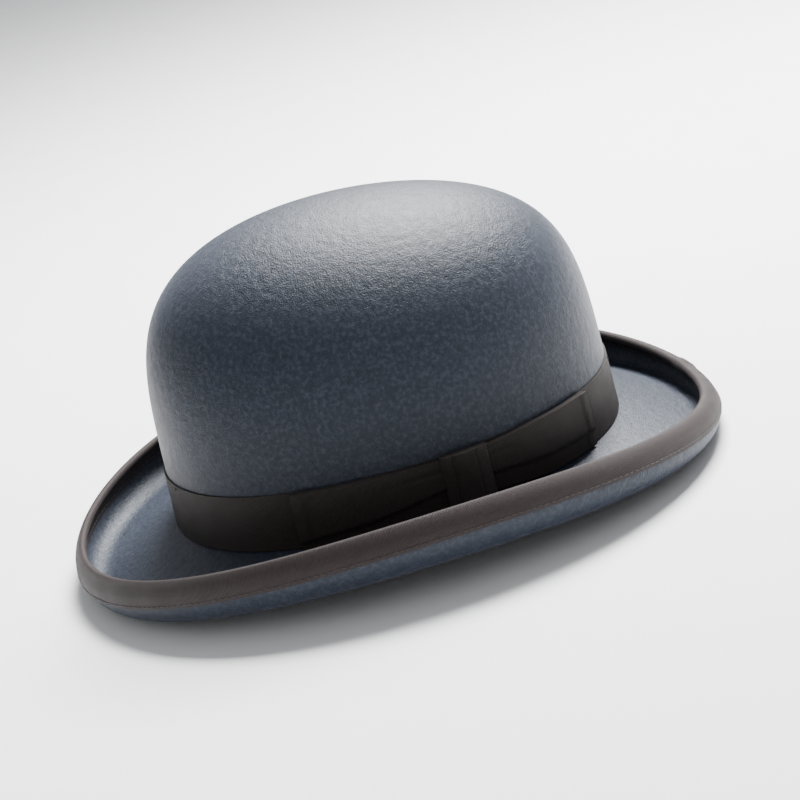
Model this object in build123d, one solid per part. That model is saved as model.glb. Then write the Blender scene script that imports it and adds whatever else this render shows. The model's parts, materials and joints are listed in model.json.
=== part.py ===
from build123d import *
import os
from math import asin, cos, hypot, pi, radians, sin, sqrt

os.makedirs("parts", exist_ok=True)

# A felt bowler hat for a 58 cm head, in millimetres. +Z is up, the front of the hat faces -Y and
# the wearer's left, where the bow is, faces +X. The origin is under the middle of the hat, on the
# surface that the hat stands on. An angle round the hat is 0 at the wearer's left, 90 degrees at
# the back and 270 degrees at the front. A height is measured up from the break, the line where
# the crown wall meets the middle of the brim felt. An offset is measured out from the outside
# face of the crown felt, so it is negative for everything inside the crown.

# Crown
CROWN_HALF_LENGTH = 105.5
CROWN_HALF_WIDTH = 89.3
CROWN_HEIGHT = 129.0
OVAL_SQUARENESS = 0.012         # fills out the shoulders of the head oval
FULLNESS_LENGTHWISE = 4.86      # a higher power keeps the wall upright for longer
FULLNESS_CROSSWISE = 2.95
CROWN_WAIST = -0.013            # draws the wall in slightly at half height
CROWN_LEAN = 3.3                # the tip sits this much behind the middle of the head oval
CROWN_RAKE = -0.06              # the tip rises towards the front
FELT = 2.6

# Brim: each value is given at the front, at the sides and at the back
BRIM_RUN = (37.6, 32.4, 38.3)           # straight run from the crown to the start of the curl
BRIM_SLOPE = (-23.8, -5.9, -23.8)       # degrees, dipping to the front and the back
CURL_RADIUS = (10.2, 12.3, 6.5)         # to the middle of the felt
CURL_TURN = (159.0, 145.0, 188.0)       # degrees that the curl turns up and over

# Hat band and bow, in grosgrain ribbon
RIBBON = 0.7
GAP = 0.15                      # air left between two layers that lie on each other
BAND_LOW = 1.8
BAND_WIDTH = 25.2
BOW_FRONT_END = radians(-30)
BOW_MIDDLE = radians(10)
BOW_REAR_END = radians(48)
KNOT_WIDTH = radians(11)
LEAF = 1.5                      # a leaf is the ribbon folded double
KNOT = 2.2

# Binding, folded over the edge of the brim
BINDING = 0.6
BINDING_OUTSIDE = 13.8          # width that shows on the outside of the curl
BINDING_INSIDE = 9.0

# Sweatband, reed and lining
LINING = 0.3
TAPE = 0.3
LEATHER = 1.1
SWEATBAND_LOW = 2.8
SWEATBAND_HIGH = 44.0
REED_RADIUS = 0.55
REED_HEIGHT = 1.9
BOW_HEIGHT = 24.0               # the little inside bow, on the sweatband's seam
LINING_LOW = 11.0
LINING_SEAM_RISE = 0.80         # share of the crown's height where side and tip meet
PIPING_RADIUS = 0.7

# Thread
THREAD = 0.3
STITCH_LENGTH = 3.0

FRONT = radians(270)
BACK = radians(90)
RING_POINTS = 48
TURN = 2 * pi

lining_outside = -(FELT + GAP)
lining_inside = lining_outside - LINING
tape_outside = lining_inside - GAP
tape_inside = tape_outside - TAPE
leather_outside = tape_inside - GAP
leather_inside = leather_outside - LEATHER
cover_outside = leather_inside - GAP
cover_inside = cover_outside - TAPE
band_high = BAND_LOW + BAND_WIDTH
band_outside = GAP + RIBBON
leaf_outside = band_outside + GAP + LEAF
binding_inner_face = FELT / 2 + GAP / 2
binding_outer_face = binding_inner_face + BINDING


def steps(start, end, count):
    """Evenly spaced values from start to end, both included."""
    return [start + (end - start) * i / count for i in range(count + 1)]


def around(angle, values):
    """Blend a front, side and back value smoothly round the hat."""
    front, side, back = values
    mean = (front + back) / 4 + side / 2
    return mean + (back - front) / 2 * sin(angle) + (side - mean) * cos(2 * angle)


def oval(angle, squareness):
    """Unit head oval."""
    x = (cos(angle) - squareness * cos(3 * angle)) / (1 - squareness)
    y = (sin(angle) + squareness * sin(3 * angle)) / (1 - squareness)
    return x, y


def brim_shape(angle):
    """The brim's middle line at one angle: run, slope, curl radius, curl turn and curl centre."""
    run = around(angle, BRIM_RUN)
    slope = radians(around(angle, BRIM_SLOPE))
    radius = around(angle, CURL_RADIUS)
    turn = radians(around(angle, CURL_TURN))
    centre_out = run * cos(slope) - radius * sin(slope)
    centre_up = run * sin(slope) + radius * cos(slope)
    return run, slope, radius, turn, centre_out, centre_up


def curl_low(angle):
    """Height of the lowest point of the curl."""
    run, slope, radius, turn, centre_out, centre_up = brim_shape(angle)
    return centre_up - radius - FELT / 2


def brim_reach(angle):
    """How far the bound curl stands out from the crown's foot."""
    run, slope, radius, turn, centre_out, centre_up = brim_shape(angle)
    return centre_out + radius + binding_outer_face


break_height = -min(curl_low(FRONT), curl_low(BACK))
centre_shift = (brim_reach(FRONT) - brim_reach(BACK)) / 2


def crown_point(angle, height, offset=0.0):
    """Point of the crown's outside face at a height, moved by an offset."""
    rise = height / (CROWN_HEIGHT + offset)
    waist = 1 + CROWN_WAIST * 4 * rise * (1 - rise)
    lengthwise = sqrt(1 - rise**FULLNESS_LENGTHWISE) * waist
    crosswise = sqrt(1 - rise**FULLNESS_CROSSWISE) * waist
    x, y = oval(angle, OVAL_SQUARENESS * (1 - rise * rise))
    x *= (CROWN_HALF_WIDTH + offset) * crosswise
    y = y * (CROWN_HALF_LENGTH + offset) * lengthwise + CROWN_LEAN * rise
    up = height + CROWN_RAKE * y * rise * rise
    return x, y + centre_shift, up + break_height


def brim_point(angle, out, height):
    """Point at a distance out from the crown's foot, square to the head oval."""
    x, y = oval(angle, OVAL_SQUARENESS)
    slope_x = CROWN_HALF_WIDTH * (-sin(angle) + 3 * OVAL_SQUARENESS * sin(3 * angle))
    slope_y = CROWN_HALF_LENGTH * (cos(angle) + 3 * OVAL_SQUARENESS * cos(3 * angle))
    length = hypot(slope_x, slope_y)
    x = CROWN_HALF_WIDTH * x + out * slope_y / length
    y = CROWN_HALF_LENGTH * y - out * slope_x / length
    return x, y + centre_shift, height + break_height


def flat_point(angle, share, side):
    """Point on the brim's straight run; side is the distance below the felt's middle."""
    run, slope, radius, turn, centre_out, centre_up = brim_shape(angle)
    out = share * run * cos(slope) + side * sin(slope)
    up = share * run * sin(slope) - side * cos(slope)
    return brim_point(angle, out, up)


def curl_point(angle, share, side):
    """Point on the curl; share runs to 1 at the edge, side is the distance outside the middle."""
    run, slope, radius, turn, centre_out, centre_up = brim_shape(angle)
    bearing = slope - pi / 2 + turn * share
    out = centre_out + (radius + side) * cos(bearing)
    up = centre_up + (radius + side) * sin(bearing)
    return brim_point(angle, out, up)


def edge_point(angle, bend, half):
    """Point on the rounded edge; bend goes from 0 inside the curl to pi outside it."""
    run, slope, radius, turn, centre_out, centre_up = brim_shape(angle)
    bearing = slope - pi / 2 + turn
    across = -half * cos(bend)
    along = half * sin(bend)
    out = centre_out + (radius + across) * cos(bearing) - along * sin(bearing)
    up = centre_up + (radius + across) * sin(bearing) + along * cos(bearing)
    return brim_point(angle, out, up)


def curl_share(angle, width, side):
    """Share of the curl at which a strip of this width from the edge ends, on the face at side."""
    run, slope, radius, turn, centre_out, centre_up = brim_shape(angle)
    return 1 - (width - binding_outer_face) / ((radius + side) * turn)


def corner_height(angle):
    """Height where the top of the brim meets the outside of the crown."""
    return FELT / 2 / cos(radians(around(angle, BRIM_SLOPE)))


def corner_point(angle, share):
    """Point on the rounded inside bend between the brim's underside and the crown's inside."""
    slope = radians(around(angle, BRIM_SLOPE))
    bearing = (slope - pi / 2) * (1 - share) - pi * share
    out = FELT * cos(bearing)
    return brim_point(angle, out, corner_height(angle) + FELT * sin(bearing))


def crown_heights(top, count):
    """Heights up the crown, closer together towards the tip, where the wall turns over."""
    return [top * sin(bend) for bend in steps(0, pi / 2, count)]


def ring(point):
    """Closed smooth wire through the points that a function gives for each angle."""
    points = [point(TURN * i / RING_POINTS) for i in range(RING_POINTS)]
    return Wire([Edge.make_spline(points, periodic=True)])


def skin(rings):
    """Faces stretched over a list of rings."""
    return Shell.make_loft(rings, ruled=len(rings) == 2).faces()


def sewn(faces):
    """One solid from faces that share their edges."""
    solid = Solid(Shell(faces))
    if solid.volume < 0:
        solid = Solid(solid.wrapped.Reversed())
    return solid


def dome(outside_rings, edge_groups, inside_rings):
    """A thin cap: outside rings from the tip down, groups round the edge, inside rings up."""
    faces = [Face(outside_rings[0]), Face(inside_rings[-1])]
    for group in [outside_rings, *edge_groups, inside_rings]:
        faces += skin(group)
    return sewn(faces)


def strip_end(points):
    """Triangles that close the end of a strip, between the two halves of its outline."""
    last = len(points) - 1
    faces = []
    for i in range(len(points) // 2 - 1):
        near = points[last - i]
        far = points[last - i - 1]
        faces.append(Face(Wire.make_polygon([points[i], points[i + 1], far])))
        faces.append(Face(Wire.make_polygon([points[i], far, near])))
    return faces


def strip(section, start, end, count=RING_POINTS):
    """Solid that carries a closed outline, given as a function of the angle, round the hat."""
    outlines = [section(angle) for angle in steps(start, end, count)]
    sides = skin([Wire.make_polygon(points) for points in outlines])
    return sewn(sides + strip_end(outlines[0]) + strip_end(outlines[-1]))


def wall_strip(start, end, low, high, inner, outer, count=RING_POINTS, rows=4):
    """Strip that lies along the crown wall between two heights and two offsets."""

    def section(angle):
        heights = steps(low, high, rows)
        outside = [crown_point(angle, height, outer) for height in heights]
        inside = [crown_point(angle, height, inner) for height in reversed(heights)]
        return outside + inside

    return strip(section, start, end, count)


def wall_cord(start, end, height, offset, radius, count=RING_POINTS):
    """Round cord that follows the crown wall at one height."""

    def section(angle):
        turns = steps(0, TURN, 8)[:-1]
        return [
            crown_point(angle, height + radius * sin(turn), offset + radius * cos(turn))
            for turn in turns
        ]

    return strip(section, start, end, count)


def stitch(start, end, below):
    """Straight thread between two points, turned to lie flat on the surface under it."""
    first = Vector(*start)
    last = Vector(*end)
    middle = (first + last) * 0.5
    outward = middle - Vector(*below)
    place = Plane(origin=middle, x_dir=last - first, z_dir=outward)
    return place * Box((last - first).length, THREAD, THREAD)


def wall_stitch(angle, height, span, rise, offset):
    """Stitch on the crown wall: span is its angle and rise its height from end to end."""
    return stitch(
        crown_point(angle - span / 2, height - rise / 2, offset),
        crown_point(angle + span / 2, height + rise / 2, offset),
        crown_point(angle, height, offset - THREAD),
    )


# Felt

def crown_tip(offset):
    """Height of the small flat oval that closes the crown's tip."""
    return (CROWN_HEIGHT + offset) * 0.9996


def crown_ring(height, offset):
    return ring(lambda angle: crown_point(angle, height, offset))


def felt_body():
    """Crown and brim in one piece, of even thickness, with the edge of the brim rounded."""
    half = FELT / 2
    corner = ring(lambda a: brim_point(a, 0, corner_height(a)))
    flat_top = ring(lambda a: flat_point(a, 1, -half))
    edge_inside = ring(lambda a: edge_point(a, 0, half))
    edge_outside = ring(lambda a: edge_point(a, pi, half))
    flat_under = ring(lambda a: flat_point(a, 1, half))
    bend_start = ring(lambda a: corner_point(a, 0))
    bend_end = ring(lambda a: corner_point(a, 1))

    up_outside = crown_heights(crown_tip(0), 15)[1:]
    outside = [crown_ring(height, 0) for height in reversed(up_outside)] + [corner]
    curl_inside = [ring(lambda a, s=s: curl_point(a, s, -half)) for s in steps(0, 1, 6)[1:-1]]
    edge = [ring(lambda a, b=b: edge_point(a, b, half)) for b in steps(0, pi, 4)[1:-1]]
    curl_outside = [ring(lambda a, s=s: curl_point(a, s, half)) for s in steps(1, 0, 8)[1:-1]]
    bend = [ring(lambda a, s=s: corner_point(a, s)) for s in steps(0, 1, 3)[1:-1]]
    up_inside = crown_heights(crown_tip(-FELT), 15)[1:]
    inside = [bend_end] + [crown_ring(height, -FELT) for height in up_inside]

    edge_groups = [
        [corner, flat_top],
        [flat_top, *curl_inside, edge_inside],
        [edge_inside, *edge, edge_outside],
        [edge_outside, *curl_outside, flat_under],
        [flat_under, bend_start],
        [bend_start, *bend, bend_end],
    ]
    return dome(outside, edge_groups, inside)


# Hat band and bow


def hat_band():
    """Ribbon round the foot of the crown, its ends butted under the knot."""
    joint = GAP / CROWN_HALF_WIDTH
    start = BOW_MIDDLE + joint
    return wall_strip(start, BOW_MIDDLE + TURN - joint, BAND_LOW, band_high, GAP, band_outside)


def hat_band_stitches():
    """Short upright tacks that hold the band's upper edge to the felt."""
    angles = [radians(bearing) for bearing in (75, 105, 150, 210, 255, 285, 315)]
    height = band_high - STITCH_LENGTH / 2
    offset = band_outside + THREAD / 2 + GAP
    return Compound([wall_stitch(a, height, 0.0, STITCH_LENGTH / 2, offset).solid() for a in angles])


def bow_leaf(start, end):
    """Folded ribbon that lies on the band, from the knot to its own end."""
    return wall_strip(start, end, BAND_LOW, band_high, band_outside + GAP, leaf_outside, count=16)


def bow_knot():
    """Ribbon wrapped round the middle of the bow, with rounded sides."""
    inner = leaf_outside + GAP

    def section(angle):
        share = min(1.0, abs(angle - BOW_MIDDLE) / (KNOT_WIDTH / 2))
        outer = inner + KNOT * (0.25 + 0.75 * sqrt(1 - share**2))
        heights = steps(BAND_LOW - RIBBON / 2, band_high + RIBBON / 2, 4)
        outside = [crown_point(angle, height, outer) for height in heights]
        inside = [crown_point(angle, height, inner) for height in reversed(heights)]
        return outside + inside

    return strip(section, BOW_MIDDLE - KNOT_WIDTH / 2, BOW_MIDDLE + KNOT_WIDTH / 2, 12)


def bow_tack_stitches():
    """Pairs of small stitches that tack the ends of the leaves down, top and bottom."""
    offset = leaf_outside + THREAD / 2 + GAP
    inset = STITCH_LENGTH
    stitches = []
    for angle in (BOW_FRONT_END + radians(2), BOW_REAR_END - radians(2)):
        for height in (BAND_LOW + inset, band_high - inset):
            for shift in (-THREAD, THREAD):
                stitches.append(wall_stitch(angle, height + shift, radians(1.6), 0.0, offset).solid())
    return Compound(stitches)


# Brim binding


def brim_binding():
    """Ribbon folded over the brim's edge, wider on the outside of the curl."""
    outer = binding_outer_face
    inner = binding_inner_face

    def outside_share(angle, step):
        return 1 - (1 - curl_share(angle, BINDING_OUTSIDE, outer)) * step

    def inside_share(angle, step):
        return 1 - (1 - curl_share(angle, BINDING_INSIDE, -outer)) * step

    def face(share, side):
        return [ring(lambda a, s=s: curl_point(a, share(a, s), side)) for s in steps(1, 0, 4)]

    def fold(half):
        return [ring(lambda a, b=b: edge_point(a, b, half)) for b in steps(pi, 0, 4)[1:-1]]

    outside = face(outside_share, outer)
    inside = face(inside_share, -outer)[::-1]
    back_outside = face(outside_share, inner)
    back_inside = face(inside_share, -inner)[::-1]
    groups = [
        outside,
        [outside[-1], *fold(outer), inside[0]],
        inside,
        [inside[-1], back_inside[-1]],
        back_inside,
        [back_outside[-1], *fold(inner), back_inside[0]],
        back_outside,
        [outside[0], back_outside[0]],
    ]
    faces = []
    for group in groups:
        faces += skin(group)
    return sewn(faces)


def binding_stitching():
    """Stitches through binding and felt, all round both edges of the binding."""
    margin = 1.5
    side = binding_outer_face + THREAD / 2 + GAP
    half_span = STITCH_LENGTH / 2 / (CROWN_HALF_LENGTH + BRIM_RUN[0])
    count = 120
    stitches = []
    for i in range(count):
        angle = TURN * i / count
        for width, face in ((BINDING_OUTSIDE, side), (BINDING_INSIDE, -side)):
            ends = []
            for a in (angle - half_span, angle + half_span):
                ends.append(curl_point(a, curl_share(a, width - margin, face), face))
            below = curl_point(angle, curl_share(angle, width - margin, face), 0.0)
            stitches.append(stitch(*ends, below).solid())
    return Compound(stitches)


# Sweatband, reed and lining


def back_gap(width):
    """Half angle, at the back of the hat, of a gap of this width."""
    return width / 2 / CROWN_HALF_WIDTH


def sweatband():
    """Leather band inside the crown, its ends butted at the back."""
    start = BACK + back_gap(GAP)
    end = BACK + TURN - back_gap(GAP)
    return wall_strip(start, end, SWEATBAND_LOW, SWEATBAND_HIGH, leather_inside, leather_outside)


def reed_tape():
    """Cloth tape folded round the reed, one half behind the leather and one half in front."""
    start = BACK + back_gap(GAP)
    end = BACK + TURN - back_gap(GAP)
    low = REED_HEIGHT - REED_RADIUS - GAP - TAPE
    high = SWEATBAND_LOW + 6.0
    front_high = SWEATBAND_LOW + 2.5

    def section(angle):
        outline = [
            (high, tape_outside),
            (low, tape_outside),
            (low, cover_inside),
            (front_high, cover_inside),
            (front_high, cover_outside),
            (low + TAPE, cover_outside),
            (low + TAPE, tape_inside),
            (high, tape_inside),
        ]
        return [crown_point(angle, height, offset) for height, offset in outline]

    return strip(section, start, end)


def sweatband_reed():
    """Thin round reed inside the fold of the tape, its ends butted at the back."""
    middle = (tape_inside + cover_outside) / 2
    start = BACK + back_gap(STITCH_LENGTH)
    end = BACK + TURN - back_gap(STITCH_LENGTH)
    return wall_cord(start, end, REED_HEIGHT, middle, REED_RADIUS)


def sweatband_stitching():
    """Zigzag that joins the leather to the reed tape."""
    offset = cover_inside - THREAD / 2 - 2 * GAP
    count = 120
    span = TURN / count * 0.8
    angles = [BACK + TURN * (i + 0.5) / count for i in range(count)]
    slants = [1.2 * (-1) ** i for i in range(count)]
    height = SWEATBAND_LOW + 1.2
    stitches = [
        wall_stitch(a, height, span, slant, offset).solid() for a, slant in zip(angles, slants)
    ]
    return Compound(stitches)


def back_seam_tape():
    """Narrow tape behind the leather that backs the butted ends at the back."""
    half = back_gap(10.0)
    low = SWEATBAND_LOW + 7.0
    high = SWEATBAND_HIGH - 1.0
    return wall_strip(BACK - half, BACK + half, low, high, tape_inside, tape_outside, count=4)


def back_seam_stitches():
    """Cross stitches that draw the butted ends of the leather together."""
    offset = leather_inside - THREAD / 2 - GAP
    heights = [h for h in steps(SWEATBAND_LOW + 5, SWEATBAND_HIGH - 3, 12) if abs(h - BOW_HEIGHT) > 5]
    slants = [1.6 * (-1) ** i for i in range(len(heights))]
    span = back_gap(2 * STITCH_LENGTH)
    return Compound([wall_stitch(BACK, h, span, s, offset).solid() for h, s in zip(heights, slants)])


def inside_bow_loops():
    """Two flat loops of narrow ribbon on the seam of the sweatband."""
    outer = leather_inside - 2 * GAP - THREAD
    inner = outer - 0.8
    loops = []
    for side in (-1, 1):
        near = BACK + side * back_gap(0.6)
        far = BACK + side * back_gap(22.0)
        low = BOW_HEIGHT - 3.0
        high = BOW_HEIGHT + 3.0
        ends = sorted((near, far))
        loops.append(wall_strip(*ends, low, high, inner, outer, count=4).solid())
    return Compound(loops)


def inside_bow_knot():
    """Ribbon tied round the middle of the little bow."""
    half = back_gap(4.0)
    outer = leather_inside - 3 * GAP - THREAD - 0.8
    low = BOW_HEIGHT - 2.2
    high = BOW_HEIGHT + 2.2
    return wall_strip(BACK - half, BACK + half, low, high, outer - 1.0, outer, count=4)


def seam_height(offset):
    """Height of the seam between the lining's side and its tip, for a surface at an offset."""
    return LINING_SEAM_RISE * (CROWN_HEIGHT + offset)


def lining_side():
    """Satin strip that lines the wall, joined at the back."""
    start = BACK + back_gap(GAP)
    end = BACK + TURN - back_gap(GAP)

    def section(angle):
        outside = []
        inside = []
        for share in steps(0, 1, 8):
            for line, offset in ((outside, lining_outside), (inside, lining_inside)):
                high = seam_height(offset) - GAP
                line.append(crown_point(angle, LINING_LOW + (high - LINING_LOW) * share, offset))
        return outside + inside[::-1]

    return strip(section, start, end)


def lining_tip():
    """Oval satin piece under the crown's tip."""

    def rings(offset):
        top = CROWN_HEIGHT + offset
        foot = asin((seam_height(offset) + GAP) / top)
        bends = steps(foot, pi / 2, 8)[:-1]
        heights = [top * sin(bend) for bend in bends] + [crown_tip(offset)]
        return [crown_ring(height, offset) for height in heights]

    outside = rings(lining_outside)[::-1]
    inside = rings(lining_inside)
    return dome(outside, [[outside[-1], inside[0]]], inside)


def lining_piping():
    """Cord sewn along the seam between the lining's side and its tip."""
    offset = lining_inside - GAP - PIPING_RADIUS * 1.4
    start = BACK + back_gap(GAP)
    end = BACK + TURN - back_gap(GAP)
    return wall_cord(start, end, seam_height(offset), offset, PIPING_RADIUS)


def lining_tacks():
    """Stitches that hold the lining's lower edge to the felt, behind the sweatband."""
    offset = lining_inside - THREAD / 2 - GAP
    count = 16
    span = STITCH_LENGTH / CROWN_HALF_LENGTH
    angles = [TURN * (i + 0.5) / count for i in range(count)]
    return Compound([wall_stitch(a, LINING_LOW + 2, span, 0.0, offset).solid() for a in angles])


def size_ticket():
    """Small blank paper ticket tucked between the sweatband and the lining."""
    middle = BACK + radians(24)
    half = 9.0 / CROWN_HALF_LENGTH
    low = SWEATBAND_HIGH - 9.0
    high = SWEATBAND_HIGH + 7.0
    outer = lining_inside - GAP
    return wall_strip(middle - half, middle + half, low, high, outer - TAPE / 2, outer, count=4)


pieces = {
    "felt_body": felt_body(),
    "hat_band": hat_band(),
    "hat_band_stitches": hat_band_stitches(),
    "bow_front_leaf": bow_leaf(BOW_FRONT_END, BOW_MIDDLE - GAP / CROWN_HALF_WIDTH),
    "bow_rear_leaf": bow_leaf(BOW_MIDDLE + GAP / CROWN_HALF_WIDTH, BOW_REAR_END),
    "bow_knot": bow_knot(),
    "bow_tack_stitches": bow_tack_stitches(),
    "brim_binding": brim_binding(),
    "binding_stitching": binding_stitching(),
    "sweatband": sweatband(),
    "reed_tape": reed_tape(),
    "sweatband_reed": sweatband_reed(),
    "sweatband_stitching": sweatband_stitching(),
    "back_seam_tape": back_seam_tape(),
    "back_seam_stitches": back_seam_stitches(),
    "inside_bow_loops": inside_bow_loops(),
    "inside_bow_knot": inside_bow_knot(),
    "lining_side": lining_side(),
    "lining_tip": lining_tip(),
    "lining_piping": lining_piping(),
    "lining_tacks": lining_tacks(),
    "size_ticket": size_ticket(),
}

for name, piece in pieces.items():
    export_step(piece, f"parts/{name}.step")
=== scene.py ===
import json
from math import cos, hypot, pi, radians, sin, sqrt

import bmesh
import bpy
from mathutils import Matrix, Vector


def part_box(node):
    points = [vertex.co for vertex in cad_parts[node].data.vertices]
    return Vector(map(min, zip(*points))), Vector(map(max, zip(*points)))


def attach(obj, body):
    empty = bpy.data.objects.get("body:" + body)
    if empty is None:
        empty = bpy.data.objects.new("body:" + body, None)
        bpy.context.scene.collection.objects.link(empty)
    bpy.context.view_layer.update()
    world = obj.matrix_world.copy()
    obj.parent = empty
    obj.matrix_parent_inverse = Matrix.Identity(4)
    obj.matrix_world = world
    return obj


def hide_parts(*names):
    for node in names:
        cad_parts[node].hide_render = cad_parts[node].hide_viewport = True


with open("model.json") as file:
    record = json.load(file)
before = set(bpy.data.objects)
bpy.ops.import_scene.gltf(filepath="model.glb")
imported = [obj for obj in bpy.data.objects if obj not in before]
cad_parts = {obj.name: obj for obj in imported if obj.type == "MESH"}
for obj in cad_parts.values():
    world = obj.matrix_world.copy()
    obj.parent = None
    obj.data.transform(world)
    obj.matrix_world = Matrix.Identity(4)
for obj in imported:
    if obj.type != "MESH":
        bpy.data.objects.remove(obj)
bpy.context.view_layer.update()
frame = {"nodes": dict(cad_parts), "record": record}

# The bowler hat's driving dimensions, in millimetres and degrees, as in its CAD source. Heights are
# above the break, offsets are out from the outside face of the crown.
CROWN_HALF_LENGTH = 105.5
CROWN_HALF_WIDTH = 89.3
CROWN_HEIGHT = 129.0
OVAL_SQUARENESS = 0.012
FULLNESS_LENGTHWISE = 4.86
FULLNESS_CROSSWISE = 2.95
CROWN_WAIST = -0.013
CROWN_LEAN = 3.3
CROWN_RAKE = -0.06
FELT = 2.6
BRIM_RUN = (37.6, 32.4, 38.3)
BRIM_SLOPE = (-23.8, -5.9, -23.8)
CURL_RADIUS = (10.2, 12.3, 6.5)
CURL_TURN = (159.0, 145.0, 188.0)
BAND_LOW = 1.8
BAND_HIGH = 27.0
BAND_OFFSETS = (0.1, 0.85)              # inner and outer face of each layer on the wall
LEAF_OFFSETS = (1.0, 3.2)
KNOT_OFFSETS = (2.6, 2.65)
KNOT_RISE = 4.2
FOLD_RISE = 1.5                         # relief on the outside face of a bow leaf
HEM_RISE = 0.5
PILLOW_RISE = 1.0
CREASE_DEPTH = 0.5
LEAF_SUNK = 0.8
LEAF_PINCH = 3.2
LEATHER_OFFSETS = (-4.7, -3.7)
LINING_OFFSETS = (-3.05, -2.8)
SWEATBAND_LOW = 2.8
SWEATBAND_HIGH = 44.0
LINING_LOW = 11.0
LINING_GAP = 0.3
LINING_GATHER = 0.35
BINDING_IN = 1.38
BINDING_OUT = 1.98
BINDING_OUTSIDE = 13.8
BINDING_INSIDE = 9.0
STITCH_COUNT = 300
STITCH_MARGIN = 1.3
STITCH_LIFT = 0.12
THREAD_RADIUS = 0.2
LINING_SEAM = 100.8
MM = 0.001
TURN = 2 * pi
FRONT = radians(270)
BACK = radians(90)
BOW_MIDDLE = radians(10)
KNOT_SPREAD = radians(5.5)
FRONT_LEAF_END = radians(-30)
REAR_LEAF_END = radians(48)
SEAM = 0.001                            # angle left open where two ends meet
RING = 240


def steps(start, end, count):
    """Evenly spaced values from start to end, both included."""
    return [start + (end - start) * i / count for i in range(count + 1)]


def smooth(value):
    """Ease from 0 to 1 as the value goes from 0 to 1."""
    value = min(1.0, max(0.0, value))
    return value * value * (3 - 2 * value)


def around(angle, values):
    """Blend a front, side and back value smoothly round the hat."""
    front, side, back = values
    mean = (front + back) / 4 + side / 2
    return mean + (back - front) / 2 * sin(angle) + (side - mean) * cos(2 * angle)


def oval(angle, squareness):
    """Unit head oval, squared off by its third harmonic."""
    x = (cos(angle) - squareness * cos(3 * angle)) / (1 - squareness)
    y = (sin(angle) + squareness * sin(3 * angle)) / (1 - squareness)
    return x, y


def brim_shape(angle):
    """Run, slope, curl radius, curl turn and curl centre at one angle."""
    run = around(angle, BRIM_RUN)
    slope = radians(around(angle, BRIM_SLOPE))
    radius = around(angle, CURL_RADIUS)
    turn = radians(around(angle, CURL_TURN))
    centre_out = run * cos(slope) - radius * sin(slope)
    centre_up = run * sin(slope) + radius * cos(slope)
    return run, slope, radius, turn, centre_out, centre_up


# The frame gives where the model sits: on the floor, centred on the crown and brim.
low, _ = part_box("felt_body")
_, _, front_radius, _, front_out, front_up = brim_shape(FRONT)
BREAK = low.z / MM + front_radius + FELT / 2 - front_up
CENTRE = low.y / MM + CROWN_HALF_LENGTH + front_out + front_radius + FELT / 2


def crown_point(angle, height, offset=0.0):
    """Point of the crown's outside face at a height, moved by an offset."""
    rise = min(height / (CROWN_HEIGHT + offset), 0.9999)
    waist = 1 + CROWN_WAIST * 4 * rise * (1 - rise)
    x, y = oval(angle, OVAL_SQUARENESS * (1 - rise * rise))
    x *= (CROWN_HALF_WIDTH + offset) * sqrt(1 - rise**FULLNESS_CROSSWISE) * waist
    y *= (CROWN_HALF_LENGTH + offset) * sqrt(1 - rise**FULLNESS_LENGTHWISE) * waist
    y += CROWN_LEAN * rise
    return Vector((x, y + CENTRE, height + CROWN_RAKE * y * rise * rise + BREAK)) * MM


def brim_point(angle, out, height):
    """Point at a distance out from the crown's foot, square to the head oval."""
    x, y = oval(angle, OVAL_SQUARENESS)
    slope_x = CROWN_HALF_WIDTH * (-sin(angle) + 3 * OVAL_SQUARENESS * sin(3 * angle))
    slope_y = CROWN_HALF_LENGTH * (cos(angle) + 3 * OVAL_SQUARENESS * cos(3 * angle))
    length = hypot(slope_x, slope_y)
    x = CROWN_HALF_WIDTH * x + out * slope_y / length
    y = CROWN_HALF_LENGTH * y - out * slope_x / length
    return Vector((x, y + CENTRE, height + BREAK)) * MM


def flat_point(angle, share, side):
    """Point on the brim's straight run; side is the distance below the felt's middle."""
    run, slope, _, _, _, _ = brim_shape(angle)
    out = share * run * cos(slope) + side * sin(slope)
    return brim_point(angle, out, share * run * sin(slope) - side * cos(slope))


def curl_point(angle, share, side, along=0.0):
    """Point on the curl, or past its edge by along; side is outside the felt's middle."""
    _, slope, radius, turn, centre_out, centre_up = brim_shape(angle)
    bearing = slope - pi / 2 + turn * share
    out = centre_out + (radius + side) * cos(bearing) - along * sin(bearing)
    return brim_point(angle, out, centre_up + (radius + side) * sin(bearing) + along * cos(bearing))


def edge_point(angle, bend, half):
    """Point on the rounded edge; bend goes from 0 inside the curl to pi outside it."""
    return curl_point(angle, 1, -half * cos(bend), half * sin(bend))


def curl_share(angle, width, side):
    """Share of the curl where a strip of this width from the edge ends, on the face at side."""
    _, _, radius, turn, _, _ = brim_shape(angle)
    return 1 - (width - BINDING_OUT) / ((radius + side) * turn)


def corner_point(angle, share):
    """Point on the rounded bend between the brim's underside and the crown's inside."""
    slope = radians(around(angle, BRIM_SLOPE))
    bearing = (slope - pi / 2) * (1 - share) - pi * share
    return brim_point(angle, FELT * cos(bearing), FELT / 2 / cos(slope) + FELT * sin(bearing))


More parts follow.
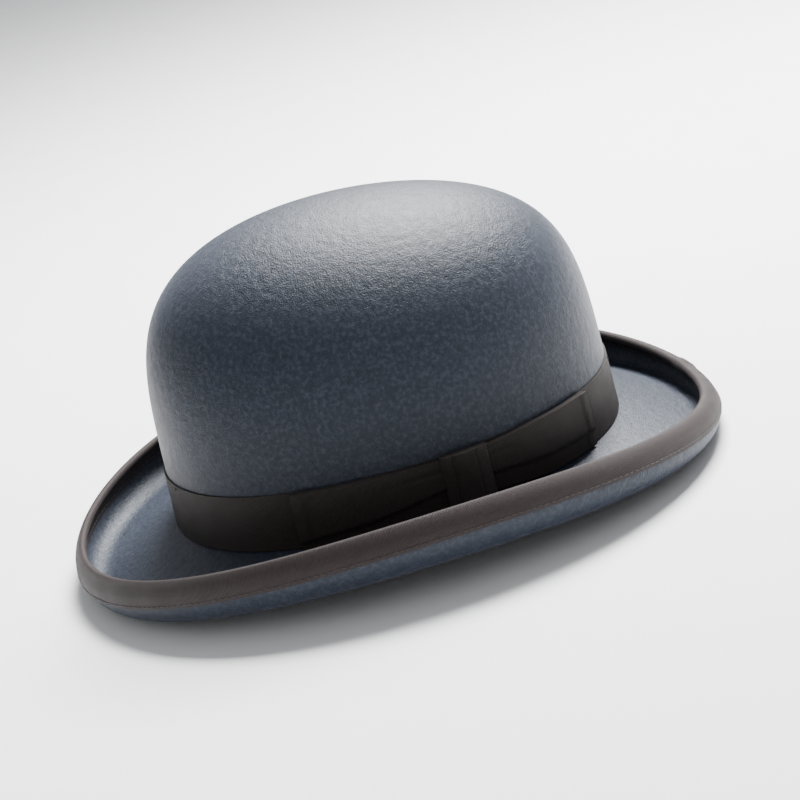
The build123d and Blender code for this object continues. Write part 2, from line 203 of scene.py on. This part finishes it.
def sweep(name, section, start, end, count, node, material, closed=False):
    """Mesh that carries an outline round the hat, with a UV map in millimetres.

    A closed sweep goes all the way round and its outline runs from the crown's tip to its inside.
    """
    angles = steps(start, end, count)
    rows = [section(angle) for angle in angles[: count if closed else count + 1]]
    wide = len(rows[0])
    sides = wide - 1 if closed else wide
    mesh = bpy.data.meshes.new(name)
    vertices = [point for row in rows for point in row]
    faces = []
    for i in range(count):
        for j in range(sides):
            near = i * wide
            far = (i + 1) % len(rows) * wide
            faces.append((near + j, near + (j + 1) % wide, far + (j + 1) % wide, far + j))
    mesh.from_pydata(vertices, [], faces)
    along = [0.0]
    for i in range(count):
        middle = wide // 4
        step = rows[(i + 1) % len(rows)][middle] - rows[i][middle]
        along.append(along[-1] + step.length / MM)
    across = [0.0]
    for j in range(wide):
        across.append(across[-1] + (rows[0][(j + 1) % wide] - rows[0][j]).length / MM)
    corners = []
    for i in range(count):
        for j in range(sides):
            corners += [along[i], across[j], along[i], across[j + 1]]
            corners += [along[i + 1], across[j + 1], along[i + 1], across[j]]
    mesh.uv_layers.new(name="UVMap").data.foreach_set("uv", corners)
    shape = bmesh.new()
    shape.from_mesh(mesh)
    bmesh.ops.holes_fill(shape, edges=[edge for edge in shape.edges if edge.is_boundary], sides=0)
    bmesh.ops.recalc_face_normals(shape, faces=shape.faces)
    shape.to_mesh(mesh)
    shape.free()
    mesh.shade_smooth()
    mesh.set_sharp_from_angle(angle=radians(50))
    piece = bpy.data.objects.new(name, mesh)
    bpy.context.scene.collection.objects.link(piece)
    mesh.materials.append(material)
    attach(piece, "root")
    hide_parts(node)
    piece["length_mm"] = along[-1]
    return piece


def wall_section(low, high, inner, outer, rows=10, relief=None):
    """Outline of a ribbon on the crown wall; relief adds height to its outside face."""

    def section(angle):
        outside = []
        for share in steps(0, 1, rows):
            extra = relief(angle, share) if relief else 0.0
            outside.append(crown_point(angle, low + (high - low) * share, outer + extra))
        inside = [crown_point(angle, low + (high - low) * s, inner) for s in steps(1, 0, rows)]
        return outside + inside

    return section


# Materials


def new_material(name, sheen, tint=(1, 1, 1, 1)):
    """Cloth-like base material; sheen is the light that the fibres catch at glancing angles."""
    material = bpy.data.materials.new(name)
    material.use_nodes = True
    shader = material.node_tree.nodes["Principled BSDF"]
    shader.inputs["Sheen Weight"].default_value = sheen
    shader.inputs["Sheen Roughness"].default_value = 0.45
    shader.inputs["Sheen Tint"].default_value = tint
    shader.inputs["Specular IOR Level"].default_value = 0.3
    return material


def texture(material, kind, source, scale, **settings):
    """A texture node on the object's or the UV map's coordinates."""
    tree = material.node_tree
    place = tree.nodes.new("ShaderNodeTexCoord")
    node = tree.nodes.new(kind)
    node.inputs["Scale"].default_value = scale
    for key, value in settings.items():
        node.inputs[key].default_value = value
    tree.links.new(place.outputs[source], node.inputs["Vector"])
    return node


def colour(material, node, stops):
    """Turn a texture into the base colour through a ramp."""
    tree = material.node_tree
    ramp = tree.nodes.new("ShaderNodeValToRGB")
    while len(ramp.color_ramp.elements) < len(stops):
        ramp.color_ramp.elements.new(0.5)
    for element, (position, shade) in zip(ramp.color_ramp.elements, stops):
        element.position = position
        element.color = (*shade, 1)
    tree.links.new(node.outputs["Fac"], ramp.inputs["Fac"])
    tree.links.new(ramp.outputs["Color"], tree.nodes["Principled BSDF"].inputs["Base Color"])


def relief(material, layers):
    """Stack bumps: each layer is a texture and its depth in metres."""
    tree = material.node_tree
    normal = None
    for node, depth in layers:
        bump = tree.nodes.new("ShaderNodeBump")
        bump.inputs["Distance"].default_value = depth
        tree.links.new(node.outputs["Fac"], bump.inputs["Height"])
        if normal:
            tree.links.new(normal, bump.inputs["Normal"])
        normal = bump.outputs["Normal"]
    tree.links.new(normal, tree.nodes["Principled BSDF"].inputs["Normal"])


def rough_range(material, node, low, high):
    """Let a texture vary the roughness between two values."""
    tree = material.node_tree
    span = tree.nodes.new("ShaderNodeMapRange")
    span.inputs["To Min"].default_value = low
    span.inputs["To Max"].default_value = high
    tree.links.new(node.outputs["Fac"], span.inputs["Value"])
    tree.links.new(span.outputs["Result"], tree.nodes["Principled BSDF"].inputs["Roughness"])


def felt_material():
    """Brushed fur felt: mottled slate blue with a fine nap."""
    material = new_material("felt", 0.05, (0.80, 0.83, 1.0, 1))
    mottle = texture(material, "ShaderNodeTexNoise", "Object", 520.0, Detail=5.0, Roughness=0.65)
    nap = texture(material, "ShaderNodeTexNoise", "Object", 1500.0, Detail=4.0)
    soft = texture(material, "ShaderNodeTexNoise", "Object", 260.0, Detail=3.0)
    colour(material, mottle, [
        (0.32, (0.005, 0.008, 0.014)),
        (0.5, (0.010, 0.015, 0.026)),
        (0.62, (0.022, 0.028, 0.042)),
        (0.80, (0.040, 0.035, 0.038)),
    ])
    relief(material, [(soft, 0.0004), (nap, 0.0003)])
    rough_range(material, soft, 0.42, 0.58)
    return material


def ribbon_material(name, groove_shade, rib, pitch):
    """Grosgrain: ribs across the ribbon, with slight unevenness; the grooves between the ribs are
    coloured darker, which is painted shade.
    """
    material = new_material(name, 0.04)
    ribs = texture(material, "ShaderNodeTexWave", "UV", pi / 10 / pitch, Distortion=0.25)
    weave = texture(material, "ShaderNodeTexNoise", "UV", 2.6, Detail=4.0)
    uneven = texture(material, "ShaderNodeTexNoise", "UV", 0.09, Detail=3.0)
    # Painted shade: the low part of the wave, the grooves between the ribs, takes the darker first colour
    colour(material, ribs, [(0.1, groove_shade), (0.8, rib)])
    relief(material, [(ribs, 0.00022), (weave, 0.00010)])
    rough_range(material, uneven, 0.5, 0.75)
    return material


def cloth_material(name, dark, light, scale, roughness, sheen):
    """Leather, satin, tape, thread or paper: a two-tone grain with relief."""
    material = new_material(name, sheen)
    grain = texture(material, "ShaderNodeTexNoise", "Object", scale, Detail=6.0)
    broad = texture(material, "ShaderNodeTexNoise", "Object", 30.0, Detail=4.0)
    colour(material, broad, [(0.3, dark), (0.7, light)])
    relief(material, [(grain, 0.00012)])
    rough_range(material, broad, roughness - 0.1, roughness + 0.1)
    return material


felt = felt_material()
# Each ribbon's first colour is painted shade for its grooves; the second is the ribs' own colour
grosgrain = ribbon_material("grosgrain", (0.009, 0.006, 0.005), (0.024, 0.016, 0.013), 0.6)
binding = ribbon_material("binding", (0.016, 0.010, 0.010), (0.028, 0.018, 0.017), 0.6)
thread = cloth_material("thread", (0.020, 0.014, 0.013), (0.045, 0.034, 0.032), 2500.0, 0.6, 0.2)
leather = cloth_material("leather", (0.22, 0.10, 0.045), (0.34, 0.18, 0.09), 900.0, 0.5, 0.0)
satin = cloth_material("satin", (0.15, 0.16, 0.21), (0.24, 0.25, 0.30), 1800.0, 0.35, 0.3)
tape = cloth_material("tape", (0.17, 0.14, 0.11), (0.26, 0.22, 0.17), 1600.0, 0.8, 0.1)
reed = cloth_material("reed", (0.48, 0.45, 0.38), (0.58, 0.55, 0.48), 400.0, 0.4, 0.0)
ticket = cloth_material("ticket", (0.70, 0.66, 0.56), (0.80, 0.77, 0.68), 700.0, 0.8, 0.0)


# Pieces


def felt_section(angle):
    """Outline of the felt from the crown's tip, round the brim and back up the inside."""
    half = FELT / 2
    bends = steps(0.0, 0.99 * pi / 2, 48)
    foot = FELT / 2 / cos(radians(around(angle, BRIM_SLOPE)))
    points = [crown_point(angle, max(foot, CROWN_HEIGHT * sin(b))) for b in reversed(bends[1:])]
    points.append(brim_point(angle, 0, foot))
    points += [flat_point(angle, share, -half) for share in steps(0, 1, 8)[1:]]
    points += [curl_point(angle, share, -half) for share in steps(0, 1, 20)[1:]]
    points += [edge_point(angle, bend, half) for bend in steps(0, pi, 8)[1:]]
    points += [curl_point(angle, share, half) for share in steps(1, 0, 24)[1:]]
    points += [flat_point(angle, share, half) for share in steps(1, 0.1, 8)[1:]]
    points += [corner_point(angle, share) for share in steps(0, 1, 4)]
    top = CROWN_HEIGHT - FELT
    points += [crown_point(angle, top * sin(b), -FELT) for b in bends if top * sin(b) > foot + 0.5]
    return points


def leaf(name, node, end, fold_end, fold_knot):
    """Bow leaf with an upper fold over a lower one, hemmed at its end and pinched in at the knot.

    fold_end and fold_knot are the height of the fold's edge at either end, as a share of the leaf.
    """

    def fold_height(along, share):
        line = fold_end + (fold_knot - fold_end) * along
        fold = smooth((share - line) / 0.10 + 0.5)
        hem = HEM_RISE * smooth((0.075 - along) / 0.01)
        pillow = PILLOW_RISE * sin(pi * share) * sin(pi * along)
        crease = CREASE_DEPTH * smooth(1 - abs(share - 0.78) / 0.07) * smooth((along - 0.45) / 0.5)
        return FOLD_RISE * fold + hem + pillow - crease - LEAF_SUNK

    def section(angle):
        along = (angle - end) / (BOW_MIDDLE - end)
        pinch = LEAF_PINCH * smooth((along - 0.4) / 0.5)
        bottom = BAND_LOW + pinch
        top = BAND_HIGH + 0.3 - 0.35 * pinch
        outline = wall_section(bottom, top, *LEAF_OFFSETS, 36, lambda _, share: fold_height(along, share))
        return outline(angle)

    start, stop = sorted((end, BOW_MIDDLE))
    return sweep(name, section, start, stop, 72, node, grosgrain)


def knot_section(angle):
    """Outline of the knot at one angle: a bulge with two soft creases."""
    share = (angle - BOW_MIDDLE) / KNOT_SPREAD
    crease = 0.6 * smooth(1 - abs(share + 0.55) / 0.12) + 0.25 * smooth(1 - abs(share - 0.4) / 0.1)
    inner, foot = KNOT_OFFSETS
    outer = foot + KNOT_RISE * (0.3 + 0.7 * sqrt(max(0.0, 1 - share**2))) - crease
    return wall_section(BAND_LOW - 0.4, BAND_HIGH + 0.4, inner, outer, 16)(angle)


LAP_START = radians(95)
LAP_END = LAP_START + TURN + radians(4)


def binding_section(angle):
    """Binding folded over the brim's edge; its last stretch laps over its start."""
    lap = 0.6 * smooth((angle - LAP_START - TURN + radians(0.5)) / radians(0.5))
    near = BINDING_IN + lap
    far = BINDING_OUT + lap
    outside = curl_share(angle, BINDING_OUTSIDE, far)
    inside = curl_share(angle, BINDING_INSIDE, -far)
    points = [curl_point(angle, share, far) for share in steps(outside, 1, 12)]
    points += [edge_point(angle, bend, far) for bend in steps(pi, 0, 10)[1:]]
    points += [curl_point(angle, share, -far) for share in steps(1, inside, 10)[1:]]
    points += [curl_point(angle, share, -near) for share in steps(inside, 1, 10)]
    points += [edge_point(angle, bend, near) for bend in steps(0, pi, 10)[1:]]
    points += [curl_point(angle, share, near) for share in steps(1, outside, 12)[1:]]
    return points


def lining_section(angle):
    """Satin side of the lining, with soft gathers under its upper seam."""
    inner, outer = LINING_OFFSETS
    outside = []
    inside = []
    for share in steps(0, 1, 30):
        height = LINING_LOW + (LINING_SEAM - LINING_LOW - LINING_GAP) * share
        gather = LINING_GATHER * share * (1 + sin(angle * 46 + 2 * sin(angle * 7)))
        outside.append(crown_point(angle, height, outer - gather))
        inside.append(crown_point(angle, height, inner - gather))
    return outside + inside[::-1]


def stitches():
    """Fine thread stitches along both edges of the binding."""
    face = BINDING_OUT + STITCH_LIFT
    rows = ((BINDING_OUTSIDE, face), (BINDING_INSIDE, -face))
    shape = bmesh.new()
    for i in range(STITCH_COUNT):
        middle = TURN * (i + 0.5) / STITCH_COUNT
        for width, side in rows:
            rings = []
            for turn, girth in ((-0.38, 0.3), (-0.25, 1.0), (0.25, 1.0), (0.38, 0.3)):
                angle = middle + turn * TURN / STITCH_COUNT
                share = curl_share(angle, width - STITCH_MARGIN, side)
                centre = curl_point(angle, share, side)
                lift = (curl_point(angle, share, side + 1) - centre).normalized()
                lift *= THREAD_RADIUS * MM * girth
                across = (curl_point(angle, share + 0.01, side) - centre).normalized()
                across *= THREAD_RADIUS * MM * girth
                ring = [centre + lift * cos(a) + across * sin(a) for a in steps(0, TURN, 6)[:-1]]
                rings.append([shape.verts.new(point) for point in ring])
            for near, far in zip(rings, rings[1:]):
                for j in range(6):
                    shape.faces.new((near[j], near[(j + 1) % 6], far[(j + 1) % 6], far[j]))
            shape.faces.new(rings[0][::-1])
            shape.faces.new(rings[-1])
    bmesh.ops.recalc_face_normals(shape, faces=shape.faces)
    mesh = bpy.data.meshes.new("brim_stitches")
    shape.to_mesh(mesh)
    shape.free()
    mesh.shade_smooth()
    mesh.materials.append(thread)
    piece = bpy.data.objects.new("brim_stitches", mesh)
    bpy.context.scene.collection.objects.link(piece)
    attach(piece, "root")
    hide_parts("binding_stitching")


sweep("felt_shell", felt_section, 0, TURN, RING, "felt_body", felt, closed=True)
band = sweep("band_ribbon", wall_section(BAND_LOW, BAND_HIGH, *BAND_OFFSETS), BOW_MIDDLE,
             BOW_MIDDLE + TURN - SEAM, RING, "hat_band", grosgrain)
front_leaf = leaf("front_leaf", "bow_front_leaf", FRONT_LEAF_END, 0.12, 0.42)
rear_leaf = leaf("rear_leaf", "bow_rear_leaf", REAR_LEAF_END, 0.28, 0.40)
sweep("knot_ribbon", knot_section, BOW_MIDDLE - KNOT_SPREAD, BOW_MIDDLE + KNOT_SPREAD, 40,
      "bow_knot", grosgrain)
edge_ribbon = sweep("edge_ribbon", binding_section, LAP_START, LAP_END, RING,
                    "brim_binding", binding)
stitches()
sweatband = sweep("leather_band", wall_section(SWEATBAND_LOW, SWEATBAND_HIGH, *LEATHER_OFFSETS),
                  BACK + SEAM, BACK + TURN - SEAM, RING, "sweatband", leather)
side_lining = sweep("satin_side", lining_section, BACK, BACK + TURN - SEAM, 400,
                    "lining_side", satin)

# The CAD nodes that stay take their material by slot
materials = {
    "thread": thread, "tape": tape, "reed": reed, "satin": satin, "ticket": ticket,
    "grosgrain": grosgrain,
}
slots = {part["node"]: part["material_slot"] for part in frame["record"]["subparts"]}
for node, cad_object in frame["nodes"].items():
    if slots[node] in materials:
        cad_object.data.materials.clear()
        cad_object.data.materials.append(materials[slots[node]])
        cad_object.data.shade_smooth()
        cad_object.data.set_sharp_from_angle(angle=radians(40))

# Camera: slightly above the brim, from the wearer's left, with the hat tipped in the picture.
AZIMUTH = radians(85.2)
ELEVATION = radians(17.2)
ROLL = radians(15.5)
DISTANCE = 1.0945
LENS = 107.55
AIM_HEIGHT = 55.0
AIM_RIGHT = 0.0152                      # metres by which the aim is off the hat's middle
AIM_DOWN = 0.0232
aim = Vector((0, CENTRE, AIM_HEIGHT + BREAK)) * MM
back = Vector((sin(AZIMUTH) * cos(ELEVATION), -cos(AZIMUTH) * cos(ELEVATION), sin(ELEVATION)))
level = Vector((0, 0, 1)).cross(back).normalized()
upright = back.cross(level)
right = level * cos(ROLL) - upright * sin(ROLL)
up = level * sin(ROLL) + upright * cos(ROLL)
place = aim + back * DISTANCE
back = (place - (aim + right * AIM_RIGHT - up * AIM_DOWN)).normalized()
right = (right - back * right.dot(back)).normalized()
up = back.cross(right)
camera = bpy.data.objects.new("camera", bpy.data.cameras.new("camera"))
camera.data.lens = LENS
camera.matrix_world = Matrix.Translation(place) @ Matrix((right, up, back)).transposed().to_4x4()
bpy.context.scene.collection.objects.link(camera)
bpy.context.scene.camera = camera

# Pale floor and soft studio light from above
mesh = bpy.data.meshes.new("floor")
FLOOR_HALF = 15.0
corners = [(x * FLOOR_HALF, y * FLOOR_HALF, 0) for x, y in ((-1, -1), (1, -1), (1, 1), (-1, 1))]
mesh.from_pydata(corners, [], [(0, 1, 2, 3)])
mesh.materials.append(cloth_material("floor", (0.78, 0.78, 0.79), (0.80, 0.80, 0.80), 3.0, 0.8, 0.0))
floor = bpy.data.objects.new("floor", mesh)
bpy.context.scene.collection.objects.link(floor)


def soft_light(name, position, size, power):
    """Area light aimed at the hat; size in metres, power in watts."""
    light = bpy.data.lights.new(name, "AREA")
    light.size = size
    light.energy = power
    lamp = bpy.data.objects.new(name, light)
    lamp.location = position
    lamp.rotation_mode = "QUATERNION"
    lamp.rotation_quaternion = (Vector(position) - aim).to_track_quat("Z", "Y")
    bpy.context.scene.collection.objects.link(lamp)


soft_light("overhead", (-0.60, 0.45, 1.15), 0.7, 125.0)
soft_light("fill", (1.8, -0.9, 0.9), 1.5, 3.0)
world = bpy.data.worlds.new("studio")
world.use_nodes = True
world.node_tree.nodes["Background"].inputs["Color"].default_value = (0.95, 0.97, 1.0, 1)
world.node_tree.nodes["Background"].inputs["Strength"].default_value = 0.6
bpy.context.scene.world = world

bpy.context.view_layer.update()
